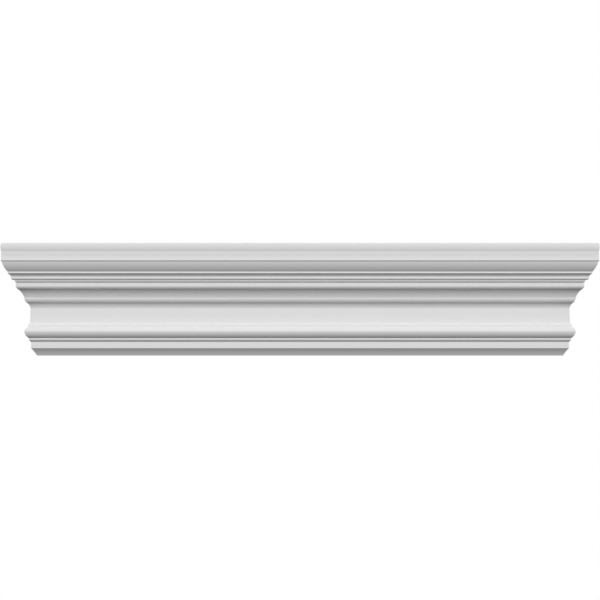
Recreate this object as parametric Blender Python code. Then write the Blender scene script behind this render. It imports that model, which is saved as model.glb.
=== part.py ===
"""Crosshead moulding: the cornice, frieze and lower bands that stand over a door's head casing.

One moulded piece. Its profile runs along the front and returns to the wall at both ends, with a mitre at
each corner. It faces -Y, its flat back lies on the wall plane y = 0, and the origin is the middle of the back.
Lengths are in metres and angles in degrees.
"""

import math

import bmesh
import bpy

# Plan of the underside: as wide as a 36 inch opening with its 3 inch casings
BASE_WIDTH = 1.0668
BASE_DEPTH = 0.0399

# Lower bands, from the underside up: each course has its height and how far it steps out
CAVETTO_HEIGHT = 0.01495
CAVETTO_OUT = 0.01205
CAVETTO_TURN = 16
LOWER_FASCIA_HEIGHT = 0.01245
CHAMFER_HEIGHT = 0.00475
CHAMFER_OUT = 0.00445
TORUS_FILLET_HEIGHT = 0.00325
TORUS_LOWER_HEIGHT = 0.01305
TORUS_LOWER_OUT = 0.0093
TORUS_LOWER_TURN = 51
TORUS_UPPER_HEIGHT = 0.0090
TORUS_UPPER_IN = 0.00675
TORUS_UPPER_TURN = 70
NECK_HEIGHT = 0.0061
NECK_IN = 0.00095
NECK_LEDGE = 0.0024

# Frieze: all but plumb above, with a slight flare out to its foot
FRIEZE_FACE_HEIGHT = 0.0122
FRIEZE_FACE_IN = 0.0003
FRIEZE_FLARE_HEIGHT = 0.0198
FRIEZE_FLARE_IN = 0.00225
FRIEZE_FLARE_TURN = 9

# Two cyma reversas, each hollow below and round above
LOWER_CYMA_HOLLOW_HEIGHT = 0.0114
LOWER_CYMA_HOLLOW_OUT = 0.0072
LOWER_CYMA_HOLLOW_TURN = 47
LOWER_CYMA_ROUND_HEIGHT = 0.01035
LOWER_CYMA_ROUND_OUT = 0.0053
LOWER_CYMA_ROUND_TURN = 57
UPPER_CYMA_HOLLOW_HEIGHT = 0.01685
UPPER_CYMA_HOLLOW_OUT = 0.01225
UPPER_CYMA_HOLLOW_TURN = 35
UPPER_CYMA_ROUND_HEIGHT = 0.0063
UPPER_CYMA_ROUND_OUT = 0.0054
UPPER_CYMA_ROUND_TURN = 43
CYMA_FILLET_HEIGHT = 0.00655

# Small bead, nosing, cove and ovolo under the crown
BEAD_LEDGE = 0.00235
BEAD_HEIGHT = 0.0064
BEAD_OUT = 0.00495
BEAD_TURN = 54
NOSE_SOFFIT = 0.0026
NOSE_RADIUS = 0.0042
NOSE_FILLET_HEIGHT = 0.00265
COVE_HEIGHT = 0.00675
COVE_OUT = 0.00715
COVE_TURN = 32
COVE_FILLET_HEIGHT = 0.00345
OVOLO_HEIGHT = 0.0207
OVOLO_OUT = 0.0119
OVOLO_TURN = 31

# Crown: drip edge, fascia with a lip at its foot, and the top band
DRIP_HEIGHT = 0.0017
DRIP_OUT = 0.0025
LIP_HEIGHT = 0.0083
LIP_IN = 0.0013
LIP_TURN = 7
FASCIA_HEIGHT = 0.0107
TOP_BAND_HEIGHT = 0.01305
TOP_BAND_OUT = 0.0011
TOP_BAND_TURN = 28
TOP_EDGE_HEIGHT = 0.0037
TOP_EDGE_IN = 0.00435

# Facets of the curved courses, and the least angle that shows as a hard edge
ARC_STEP = 5
HARD_EDGE = 10

# Factory primer
PRIMER_COLOUR = (0.80, 0.80, 0.80, 1.0)
PRIMER_ROUGHNESS = 0.5


def straight(run, out, up):
    """Add a flat course to the profile, from its last point."""
    last_out, last_up = run[-1]
    run.append((last_out + out, last_up + up))


def arc(run, out, up, turn):
    """Add a circular arc across the chord (out, up). A turn above zero is round, and below zero hollow."""
    last_out, last_up = run[-1]
    half = math.radians(turn) / 2
    radius = math.hypot(out, up) / (2 * math.sin(half))
    start = math.atan2(up, out) - half
    steps = math.ceil(abs(turn) / ARC_STEP)
    for step in range(1, steps + 1):
        swept = 2 * half * step / steps
        reach = 2 * radius * math.sin(swept / 2)
        heading = start + swept / 2
        run.append((last_out + reach * math.cos(heading), last_up + reach * math.sin(heading)))


def hollow(run, out, up, turn):
    """Add a hollow arc to the profile."""
    arc(run, out, up, -turn)


def lower_bands(run):
    """Cavetto, fascia, chamfer, fillet, torus and neck."""
    hollow(run, CAVETTO_OUT, CAVETTO_HEIGHT, CAVETTO_TURN)
    straight(run, 0, LOWER_FASCIA_HEIGHT)
    straight(run, CHAMFER_OUT, CHAMFER_HEIGHT)
    straight(run, 0, TORUS_FILLET_HEIGHT)
    arc(run, TORUS_LOWER_OUT, TORUS_LOWER_HEIGHT, TORUS_LOWER_TURN)
    arc(run, -TORUS_UPPER_IN, TORUS_UPPER_HEIGHT, TORUS_UPPER_TURN)
    straight(run, -NECK_IN, NECK_HEIGHT)
    straight(run, -NECK_LEDGE, 0)


def frieze(run):
    """Flared foot, then the flat face."""
    hollow(run, -FRIEZE_FLARE_IN, FRIEZE_FLARE_HEIGHT, FRIEZE_FLARE_TURN)
    straight(run, -FRIEZE_FACE_IN, FRIEZE_FACE_HEIGHT)


def cymas(run):
    """The two cyma reversas and the fillet over them."""
    hollow(run, LOWER_CYMA_HOLLOW_OUT, LOWER_CYMA_HOLLOW_HEIGHT, LOWER_CYMA_HOLLOW_TURN)
    arc(run, LOWER_CYMA_ROUND_OUT, LOWER_CYMA_ROUND_HEIGHT, LOWER_CYMA_ROUND_TURN)
    hollow(run, UPPER_CYMA_HOLLOW_OUT, UPPER_CYMA_HOLLOW_HEIGHT, UPPER_CYMA_HOLLOW_TURN)
    arc(run, UPPER_CYMA_ROUND_OUT, UPPER_CYMA_ROUND_HEIGHT, UPPER_CYMA_ROUND_TURN)
    straight(run, 0, CYMA_FILLET_HEIGHT)


def bed_mouldings(run):
    """Ledge and bead, nosing, cove, fillet and ovolo."""
    straight(run, -BEAD_LEDGE, 0)
    arc(run, BEAD_OUT, BEAD_HEIGHT, BEAD_TURN)
    straight(run, NOSE_SOFFIT, 0)
    arc(run, NOSE_RADIUS, NOSE_RADIUS, 90)
    straight(run, 0, NOSE_FILLET_HEIGHT)
    hollow(run, COVE_OUT, COVE_HEIGHT, COVE_TURN)
    straight(run, 0, COVE_FILLET_HEIGHT)
    arc(run, OVOLO_OUT, OVOLO_HEIGHT, OVOLO_TURN)


def crown(run):
    """Drip edge, lip and fascia, top band, and its rounded edge, which ends level with the top."""
    straight(run, DRIP_OUT, DRIP_HEIGHT)
    hollow(run, -LIP_IN, LIP_HEIGHT, LIP_TURN)
    straight(run, 0, FASCIA_HEIGHT)
    arc(run, TOP_BAND_OUT, TOP_BAND_HEIGHT, TOP_BAND_TURN)
    edge_turn = 2 * math.degrees(math.atan2(TOP_EDGE_HEIGHT, TOP_EDGE_IN))
    arc(run, -TOP_EDGE_IN, TOP_EDGE_HEIGHT, edge_turn)


def profile():
    """Points (out, up) of the face, from the front edge of the underside to that of the top."""
    run = [(0.0, 0.0)]
    lower_bands(run)
    frieze(run)
    cymas(run)
    bed_mouldings(run)
    crown(run)
    return run


def crosshead_mesh():
    """The profile along the left return, the front and the right return, closed by a flat back."""
    run = profile()
    half_height = run[-1][1] / 2
    bm = bmesh.new()
    levels = []
    for out, up in run:
        side = BASE_WIDTH / 2 + out
        front = -(BASE_DEPTH + out)
        plan = [(-side, 0), (-side, front), (side, front), (side, 0)]
        levels.append([bm.verts.new((x, y, up - half_height)) for x, y in plan])
    for lower, upper in zip(levels, levels[1:]):
        for i in range(3):
            bm.faces.new((lower[i], lower[i + 1], upper[i + 1], upper[i]))
    bm.faces.new(reversed(levels[0]))
    bm.faces.new(levels[-1])
    left_edge = [level[0] for level in levels]
    right_edge = [level[3] for level in levels]
    bm.faces.new(left_edge + right_edge[::-1])
    mesh = bpy.data.meshes.new("crosshead")
    bm.to_mesh(mesh)
    bm.free()
    mesh.shade_smooth()
    mesh.set_sharp_from_angle(angle=math.radians(HARD_EDGE))
    return mesh


def primer():
    """White factory primer over the moulded skin."""
    material = bpy.data.materials.new("white_primer")
    material.use_nodes = True
    shader = material.node_tree.nodes["Principled BSDF"]
    shader.inputs["Base Color"].default_value = PRIMER_COLOUR
    shader.inputs["Roughness"].default_value = PRIMER_ROUGHNESS
    shader.inputs["Metallic"].default_value = 0.0
    material.diffuse_color = PRIMER_COLOUR
    return material


def main():
    for old in list(bpy.data.objects):
        bpy.data.objects.remove(old)
    crosshead = bpy.data.objects.new("crosshead", crosshead_mesh())
    crosshead.data.materials.append(primer())
    bpy.context.scene.collection.objects.link(crosshead)


main()
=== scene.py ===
"""Looks of the crosshead moulding: its finer moulded surface, primed white finish, and a plain studio.

The moulding faces -Y with its flat back on y = 0, as in the frame. Lengths are in metres, angles in degrees.
"""

import math

import bmesh
import bpy
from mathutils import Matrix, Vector


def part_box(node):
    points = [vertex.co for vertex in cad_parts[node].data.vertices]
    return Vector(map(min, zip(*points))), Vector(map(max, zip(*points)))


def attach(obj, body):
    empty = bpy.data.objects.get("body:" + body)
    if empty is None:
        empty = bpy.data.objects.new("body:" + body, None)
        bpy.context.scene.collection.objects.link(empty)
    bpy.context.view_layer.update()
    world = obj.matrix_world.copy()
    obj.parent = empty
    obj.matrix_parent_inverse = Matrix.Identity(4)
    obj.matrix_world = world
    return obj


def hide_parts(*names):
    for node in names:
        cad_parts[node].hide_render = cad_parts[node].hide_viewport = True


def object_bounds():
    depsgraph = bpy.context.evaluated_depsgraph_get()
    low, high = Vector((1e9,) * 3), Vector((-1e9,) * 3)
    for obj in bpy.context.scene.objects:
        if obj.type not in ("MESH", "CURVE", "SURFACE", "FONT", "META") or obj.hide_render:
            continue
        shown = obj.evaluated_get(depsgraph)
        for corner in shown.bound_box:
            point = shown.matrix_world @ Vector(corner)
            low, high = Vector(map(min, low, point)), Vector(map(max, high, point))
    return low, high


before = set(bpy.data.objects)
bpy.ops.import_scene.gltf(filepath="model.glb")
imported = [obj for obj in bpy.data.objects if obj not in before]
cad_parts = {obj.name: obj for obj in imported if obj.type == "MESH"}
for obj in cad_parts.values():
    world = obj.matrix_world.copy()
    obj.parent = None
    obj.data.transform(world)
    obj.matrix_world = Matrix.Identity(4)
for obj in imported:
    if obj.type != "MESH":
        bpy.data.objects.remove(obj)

CAD_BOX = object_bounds()
NODE = "crosshead"

# Courses of the profile from the underside up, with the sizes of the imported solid: height, step out, and turn
CAVETTO = (0.01495, 0.01205, 16)
LOWER_FASCIA_HEIGHT = 0.01245
CHAMFER = (0.00475, 0.00445)
TORUS_FILLET_HEIGHT = 0.00325
TORUS_LOWER = (0.01305, 0.0093, 51)
TORUS_UPPER = (0.0090, -0.00675, 70)
NECK = (0.0061, -0.00095)
NECK_LEDGE = 0.0024
FRIEZE_FLARE = (0.0198, -0.00225, 9)
FRIEZE_FACE = (0.0122, -0.0003)
LOWER_CYMA_HOLLOW = (0.0114, 0.0072, 47)
LOWER_CYMA_ROUND = (0.01035, 0.0053, 57)
UPPER_CYMA_HOLLOW = (0.01685, 0.01225, 35)
UPPER_CYMA_ROUND = (0.0063, 0.0054, 43)
CYMA_FILLET_HEIGHT = 0.00655
BEAD_LEDGE = 0.00235
BEAD = (0.0064, 0.00495, 54)
NOSE_SOFFIT = 0.0026
NOSE_RADIUS = 0.0042
NOSE_FILLET_HEIGHT = 0.00265
COVE = (0.00675, 0.00715, 32)
COVE_FILLET_HEIGHT = 0.00345
OVOLO = (0.0207, 0.0119, 31)
DRIP = (0.0017, 0.0025)
LIP = (0.0083, -0.0013, 7)
FASCIA_HEIGHT = 0.0107
TOP_BAND = (0.01305, 0.0011, 28)
TOP_EDGE = (0.0037, -0.00435)

# Radii that the mould and the primer leave on the creases and on the mitred corners
CREASE_RADIUS = 0.0003
CORNER_RADIUS = 0.0004

# The most of the room beside a crease that its rounding takes, and how far off its two holding points are
MOST_OF_ROOM = 0.7
SUPPORT = 0.00012

# A stretch of the underside, from which the profile's first edge is rounded
LEAD_IN = 4 * CREASE_RADIUS

# Turns: the least that is rounded, the least that counts as a crease, the steps of the arcs, and a hard edge
LEAST_EASED_TURN = 7
LEAST_CREASE_TURN = 2.5
ARC_STEP = 2
EASE_STEP = 7.5
HARD_EDGE = 50

# Primer: its range of tone and roughness, and the scales and depths of its textures
PRIMER_TONES = (0.785, 0.815)
PRIMER_ROUGHNESS = (0.6, 0.72)
PRIMER_SPECULAR = 0.2
CLOUD_SCALE = 9.0
SPECKLE_SCALE = 140.0
PEEL_SCALE = 420.0
PEEL_DEPTH = 0.00006
PEEL_STRENGTH = 0.25
SKIN_SCALE = 22.0
SKIN_DEPTH = 0.0004
SKIN_STRENGTH = 0.3

# Studio: the floor, the fill from all round, and the width of each light's disc
FLOOR_HALF = 20.0
FLOOR_LEVEL = -0.65
FLOOR_TONE = 0.65
FLOOR_ROUGHNESS = 0.9
BACKDROP_STRENGTH = 1.0
FILL_STRENGTH = 0.025
SUN_DISC = 20

# The photograph in pixels: its width, the moulding's height, and its centre's height above the middle
IMAGE_WIDTH_PX = 600
OUTLINE_HEIGHT_PX = 112.71
CENTRE_ABOVE_MIDDLE_PX = 0.775

# How far in front of the wall the camera stands
CAMERA_DISTANCE = 3.0


def straight(run, up, out):
    """Add a flat course to the profile, from its last point."""
    last = run[-1]
    run.append(last + Vector((out, up)))


def arc(run, up, out, turn):
    """Add a circular arc across the chord (out, up). A turn above zero is round, and below zero hollow."""
    last = run[-1]
    half = math.radians(turn) / 2
    radius = math.hypot(out, up) / (2 * math.sin(half))
    start = math.atan2(up, out) - half
    steps = math.ceil(abs(turn) / ARC_STEP)
    for step in range(1, steps + 1):
        swept = 2 * half * step / steps
        reach = 2 * radius * math.sin(swept / 2)
        heading = start + swept / 2
        run.append(last + Vector((reach * math.cos(heading), reach * math.sin(heading))))


def hollow(run, up, out, turn):
    """Add a hollow arc to the profile."""
    arc(run, up, out, -turn)


def courses():
    """The profile's points (out, up), from the front edge of the underside to that of the top."""
    run = [Vector((0.0, 0.0))]
    hollow(run, *CAVETTO)
    straight(run, LOWER_FASCIA_HEIGHT, 0)
    straight(run, *CHAMFER)
    straight(run, TORUS_FILLET_HEIGHT, 0)
    arc(run, *TORUS_LOWER)
    arc(run, *TORUS_UPPER)
    straight(run, *NECK)
    straight(run, 0, -NECK_LEDGE)
    hollow(run, *FRIEZE_FLARE)
    straight(run, *FRIEZE_FACE)
    hollow(run, *LOWER_CYMA_HOLLOW)
    arc(run, *LOWER_CYMA_ROUND)
    hollow(run, *UPPER_CYMA_HOLLOW)
    arc(run, *UPPER_CYMA_ROUND)
    straight(run, CYMA_FILLET_HEIGHT, 0)
    straight(run, 0, -BEAD_LEDGE)
    arc(run, *BEAD)
    straight(run, 0, NOSE_SOFFIT)
    arc(run, NOSE_RADIUS, NOSE_RADIUS, 90)
    straight(run, NOSE_FILLET_HEIGHT, 0)
    hollow(run, *COVE)
    straight(run, COVE_FILLET_HEIGHT, 0)
    arc(run, *OVOLO)
    straight(run, *DRIP)
    hollow(run, *LIP)
    straight(run, FASCIA_HEIGHT, 0)
    arc(run, *TOP_BAND)
    edge_height, edge_out = TOP_EDGE
    arc(run, *TOP_EDGE, 2 * math.degrees(math.atan2(edge_height, -edge_out)))
    return run


def rounded(before, corner, after):
    """A small arc in place of a crease, held between two close points so that its faces stay flat."""
    arriving = (corner - before).normalized()
    leaving = (after - corner).normalized()
    turn = math.atan2(arriving.cross(leaving), arriving.dot(leaving))
    if abs(math.degrees(turn)) < LEAST_CREASE_TURN:
        return [corner]
    room = min((corner - before).length, (after - corner).length) / 2
    trim = 0.0
    arc_points = [corner]
    if abs(math.degrees(turn)) > LEAST_EASED_TURN:
        trim = min(CREASE_RADIUS * math.tan(abs(turn) / 2), MOST_OF_ROOM * room)
        radius = trim / math.tan(abs(turn) / 2)
        start = math.atan2(arriving.y, arriving.x)
        steps = math.ceil(abs(math.degrees(turn)) / EASE_STEP)
        first = corner - arriving * trim
        arc_points = [first]
        for step in range(1, steps + 1):
            swept = turn * step / steps
            reach = 2 * radius * math.sin(abs(swept) / 2)
            heading = start + swept / 2
            arc_points.append(first + Vector((reach * math.cos(heading), reach * math.sin(heading))))
    hold = min(trim + SUPPORT, room)
    return [corner - arriving * hold, *arc_points, corner + leaving * hold]


def eased(run):
    """The profile with its creases rounded, and the first edge rounded from the underside."""
    lead_in = run[0] - Vector((LEAD_IN, 0))
    points = [lead_in, *run]
    result = []
    for before, corner, after in zip(points, points[1:], points[2:]):
        result.extend(rounded(before, corner, after))
    result.append(run[-1])
    return result


def plan(side, front):
    """One level's outline on plan, from the wall round both rounded corners and back to the wall."""
    steps = math.ceil(90 / EASE_STEP)
    left = [(-side, 0.0), (-side, front + CORNER_RADIUS + SUPPORT)]
    for step in range(steps + 1):
        angle = math.radians(90) * step / steps
        x = -side + CORNER_RADIUS * (1 - math.cos(angle))
        y = front + CORNER_RADIUS * (1 - math.sin(angle))
        left.append((x, y))
    left.append((-side + CORNER_RADIUS + SUPPORT, front))
    right = [(-x, y) for x, y in reversed(left)]
    return left + right


def moulded_mesh():
    """The whole moulding: front and returns in one skin, closed by the flat top, underside and back."""
    low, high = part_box(NODE)
    run = eased(courses())
    widest = max(point.x for point in run)
    base_half = high[0] - widest
    base_depth = -low[1] - widest
    bm = bmesh.new()
    levels = []
    for point in run:
        outline = plan(base_half + point.x, -(base_depth + point.x))
        levels.append([bm.verts.new((x, y, low[2] + point.y)) for x, y in outline])
    for lower, upper in zip(levels, levels[1:]):
        for i in range(len(lower) - 1):
            bm.faces.new((lower[i], lower[i + 1], upper[i + 1], upper[i]))
    bm.faces.new(reversed(levels[0]))
    bm.faces.new(levels[-1])
    left_edge = [level[0] for level in levels]
    right_edge = [level[-1] for level in levels]
    bm.faces.new(left_edge + right_edge[::-1])
    mesh = bpy.data.meshes.new("crosshead_moulded")
    bm.to_mesh(mesh)
    bm.free()
    mesh.shade_smooth()
    mesh.set_sharp_from_angle(angle=math.radians(HARD_EDGE))
    return mesh


def node(tree, kind, **values):
    """A shader node, with its named inputs or properties set."""
    made = tree.nodes.new(kind)
    for name, value in values.items():
        if hasattr(made, name):
            setattr(made, name, value)
        else:
            made.inputs[name].default_value = value
    return made


def grey(tone):
    """A neutral colour of one tone."""
    return (tone, tone, tone, 1.0)


def primer():
    """White factory primer: satin, with a fine sprayed texture over the foam's slightly uneven skin."""
    material = bpy.data.materials.new("white_primer")
    material.use_nodes = True
    tree = material.node_tree
    link = tree.links.new
    shader = tree.nodes["Principled BSDF"]
    shader.inputs["Metallic"].default_value = 0.0
    shader.inputs["Specular IOR Level"].default_value = PRIMER_SPECULAR
    place = node(tree, "ShaderNodeTexCoord").outputs["Object"]

    cloud = node(tree, "ShaderNodeTexNoise", Scale=CLOUD_SCALE, Detail=4.0, Roughness=0.6)
    link(place, cloud.inputs["Vector"])
    tone = node(tree, "ShaderNodeMix", data_type="RGBA")
    tone.inputs["A"].default_value = grey(PRIMER_TONES[0])
    tone.inputs["B"].default_value = grey(PRIMER_TONES[1])
    link(cloud.outputs["Fac"], tone.inputs["Factor"])
    link(tone.outputs["Result"], shader.inputs["Base Color"])

    speckle = node(tree, "ShaderNodeTexNoise", Scale=SPECKLE_SCALE, Detail=3.0, Roughness=0.55)
    link(place, speckle.inputs["Vector"])
    gloss = node(tree, "ShaderNodeMapRange")
    gloss.inputs["To Min"].default_value = PRIMER_ROUGHNESS[0]
    gloss.inputs["To Max"].default_value = PRIMER_ROUGHNESS[1]
    link(speckle.outputs["Fac"], gloss.inputs["Value"])
    link(gloss.outputs["Result"], shader.inputs["Roughness"])

    peel = node(tree, "ShaderNodeTexNoise", Scale=PEEL_SCALE, Detail=2.0, Roughness=0.5)
    link(place, peel.inputs["Vector"])
    fine = node(tree, "ShaderNodeBump", Strength=PEEL_STRENGTH, Distance=PEEL_DEPTH)
    link(peel.outputs["Fac"], fine.inputs["Height"])
    skin = node(tree, "ShaderNodeTexNoise", Scale=SKIN_SCALE, Detail=2.0, Roughness=0.5)
    link(place, skin.inputs["Vector"])
    broad = node(tree, "ShaderNodeBump", Strength=SKIN_STRENGTH, Distance=SKIN_DEPTH)
    link(skin.outputs["Fac"], broad.inputs["Height"])
    link(fine.outputs["Normal"], broad.inputs["Normal"])
    link(broad.outputs["Normal"], shader.inputs["Normal"])
    return material


def moulding():
    """The dressed moulding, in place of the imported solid."""
    piece = bpy.data.objects.new("crosshead_moulded", moulded_mesh())
    piece.data.materials.append(primer())
    bpy.context.scene.collection.objects.link(piece)
    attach(piece, "root")
    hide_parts(NODE)


def pale_floor():
    """A pale matt surface that is clear from beneath."""
    material = bpy.data.materials.new("pale_floor")
    material.use_nodes = True
    tree = material.node_tree
    link = tree.links.new
    shader = tree.nodes["Principled BSDF"]
    shader.inputs["Base Color"].default_value = grey(FLOOR_TONE)
    shader.inputs["Roughness"].default_value = FLOOR_ROUGHNESS
    clear = node(tree, "ShaderNodeBsdfTransparent")
    side = node(tree, "ShaderNodeNewGeometry")
    mix = node(tree, "ShaderNodeMixShader")
    link(side.outputs["Backfacing"], mix.inputs["Fac"])
    link(shader.outputs["BSDF"], mix.inputs[1])
    link(clear.outputs["BSDF"], mix.inputs[2])
    link(mix.outputs["Shader"], tree.nodes["Material Output"].inputs["Surface"])
    return material


def floor():
    """A plain floor below the moulding, which throws no light or reflection back at it."""
    bm = bmesh.new()
    corners = [
        (-FLOOR_HALF, -FLOOR_HALF),
        (FLOOR_HALF, -FLOOR_HALF),
        (FLOOR_HALF, FLOOR_HALF),
        (-FLOOR_HALF, FLOOR_HALF),
    ]
    bm.faces.new([bm.verts.new((x, y, FLOOR_LEVEL)) for x, y in corners])
    mesh = bpy.data.meshes.new("floor")
    bm.to_mesh(mesh)
    bm.free()
    mesh.materials.append(pale_floor())
    obj = bpy.data.objects.new("floor", mesh)
    bpy.context.scene.collection.objects.link(obj)
    obj.visible_diffuse = False
    obj.visible_glossy = False
    obj.visible_shadow = False


def sun(name, azimuth, elevation, strength, shadow):
    """A broad soft light from far off. Azimuth 0 is in front, at -Y, and 90 at +X."""
    light = bpy.data.lights.new(name, "SUN")
    light.energy = strength
    light.angle = math.radians(SUN_DISC)
    light.use_shadow = shadow
    obj = bpy.data.objects.new(name, light)
    a, e = math.radians(azimuth), math.radians(elevation)
    towards = Vector((math.sin(a) * math.cos(e), -math.cos(a) * math.cos(e), math.sin(e)))
    obj.rotation_euler = towards.to_track_quat("Z", "Y").to_euler()
    bpy.context.scene.collection.objects.link(obj)


def surroundings():
    """White to the camera, and a low even fill to the moulding."""
    world = bpy.data.worlds.new("studio")
    world.use_nodes = True
    tree = world.node_tree
    link = tree.links.new
    seen = node(tree, "ShaderNodeBackground", Color=grey(1.0), Strength=BACKDROP_STRENGTH)
    fill = tree.nodes["Background"]
    fill.inputs["Color"].default_value = grey(1.0)
    fill.inputs["Strength"].default_value = FILL_STRENGTH
    path = node(tree, "ShaderNodeLightPath")
    mix = node(tree, "ShaderNodeMixShader")
    link(path.outputs["Is Camera Ray"], mix.inputs["Fac"])
    link(fill.outputs["Background"], mix.inputs[1])
    link(seen.outputs["Background"], mix.inputs[2])
    link(mix.outputs["Shader"], tree.nodes["World Output"].inputs["Surface"])
    bpy.context.scene.world = world


def studio():
    """Plain tones, white surroundings, and soft lights round the moulding. The key light casts no shadow."""
    scene = bpy.context.scene
    scene.view_settings.view_transform = "Standard"
    scene.view_settings.look = "None"
    surroundings()
    sun("key", azimuth=0, elevation=27.5, strength=2.81, shadow=False)
    sun("left", azimuth=-110, elevation=20, strength=2.2, shadow=True)
    sun("right", azimuth=110, elevation=20, strength=2.2, shadow=True)
    sun("rear", azimuth=180, elevation=-30, strength=1.0, shadow=True)


def camera():
    """Straight on and level, with the whole length of the moulding across the picture."""
    low, high = CAD_BOX
    pixel = (high[2] - low[2]) / OUTLINE_HEIGHT_PX
    data = bpy.data.cameras.new("camera")
    data.type = "ORTHO"
    data.ortho_scale = IMAGE_WIDTH_PX * pixel
    obj = bpy.data.objects.new("camera", data)
    middle = (low[2] + high[2]) / 2
    obj.location = (0.0, -CAMERA_DISTANCE, middle - CENTRE_ABOVE_MIDDLE_PX * pixel)
    obj.rotation_euler = (math.radians(90), 0.0, 0.0)
    bpy.context.scene.collection.objects.link(obj)
    bpy.context.scene.camera = obj


moulding()
floor()
studio()
camera()
